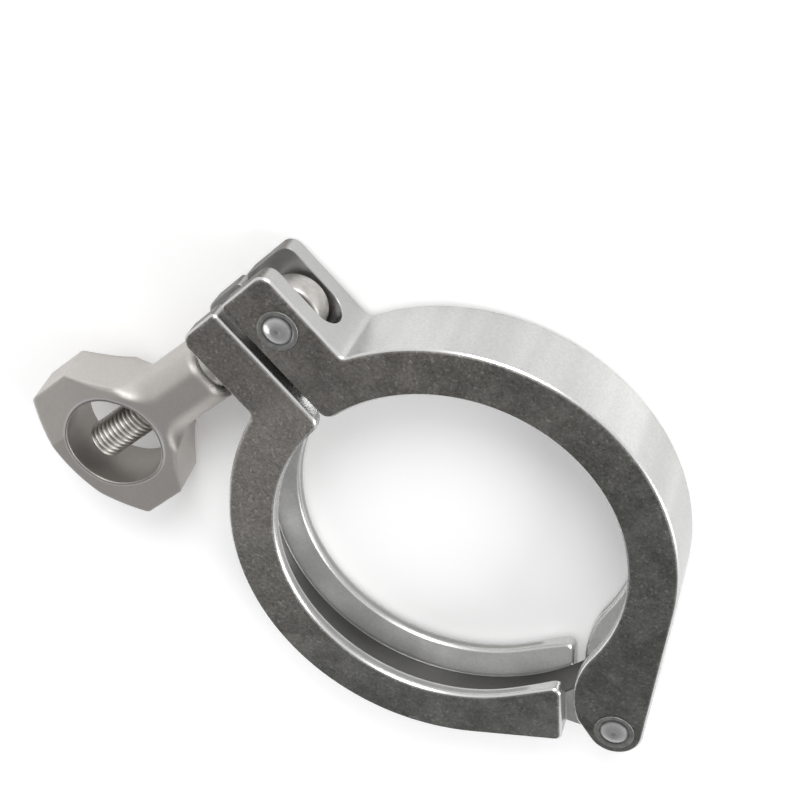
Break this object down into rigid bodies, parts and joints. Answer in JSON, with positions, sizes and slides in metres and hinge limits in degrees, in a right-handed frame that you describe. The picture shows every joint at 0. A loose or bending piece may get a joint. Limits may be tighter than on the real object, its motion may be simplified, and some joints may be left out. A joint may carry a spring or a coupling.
{
  "type": "sanitary hinged clamp",
  "caption": "Hinged pipe clamp: two cast half rings with an inner ferrule groove, a swing bolt and a winged nut with a round window.",
  "frame": {"origin": "centre of the closed ring, halfway through its width", "axes": "+Z is the ring's axis, +X points at the hinge pin, +Y is the side of the half that carries the swing bolt; the clamp lies on its -Z side"},
  "size_m": [0.1326, 0.1016, 0.0198],
  "materials": {
    "cast_steel": "blasted casting with polished edges",
    "pin_steel": "turned, riveted over",
    "bolt_steel": "turned with a rolled thread",
    "nut_steel": "satin casting",
    "bush_brass": "turned"
  },
  "bodies": {
    "upper_half": {"half_ring_upper": "cast_steel", "hinge_pin": "pin_steel", "bolt_pin": "pin_steel"},
    "lower_half": {"half_ring_lower": "cast_steel"},
    "swing_bolt": {"swing_bolt": "bolt_steel"},
    "nose_bush": {"nose_bush": "bush_brass"},
    "wing_nut": {"wing_nut": "nut_steel"}
  },
  "joints": [
    {"name": "clamp_hinge", "type": "hinge", "parent": "upper_half", "child": "lower_half", "pos_m": [0.0515, 0, 0], "axis": [0, 0, 1], "range_deg": [-0.82, 12.84]},
    {"name": "bolt_swing", "type": "hinge", "parent": "upper_half", "child": "swing_bolt", "pos_m": [-0.0552, 0.0072, 0], "axis": [0, 0, -1], "range_deg": [0, 170]},
    {"name": "nut_travel", "type": "slide", "parent": "swing_bolt", "child": "nose_bush", "axis": [-0.0488, -0.9988, 0], "range_m": [-0.0016, 0.0251]},
    {"name": "nut_spin", "type": "hinge", "parent": "nose_bush", "child": "wing_nut", "pos_m": [-0.05642, -0.01777, 0], "axis": [-0.0488, -0.9988, 0], "range_deg": [-432, 7200]}
  ],
  "couplings": [
    {"joint": "nut_travel", "follows": "nut_spin", "m_per_rad": 0.00019894},
    {"joint": "clamp_hinge", "follows": "nut_spin", "ratio": 0.0017763}
  ]
}
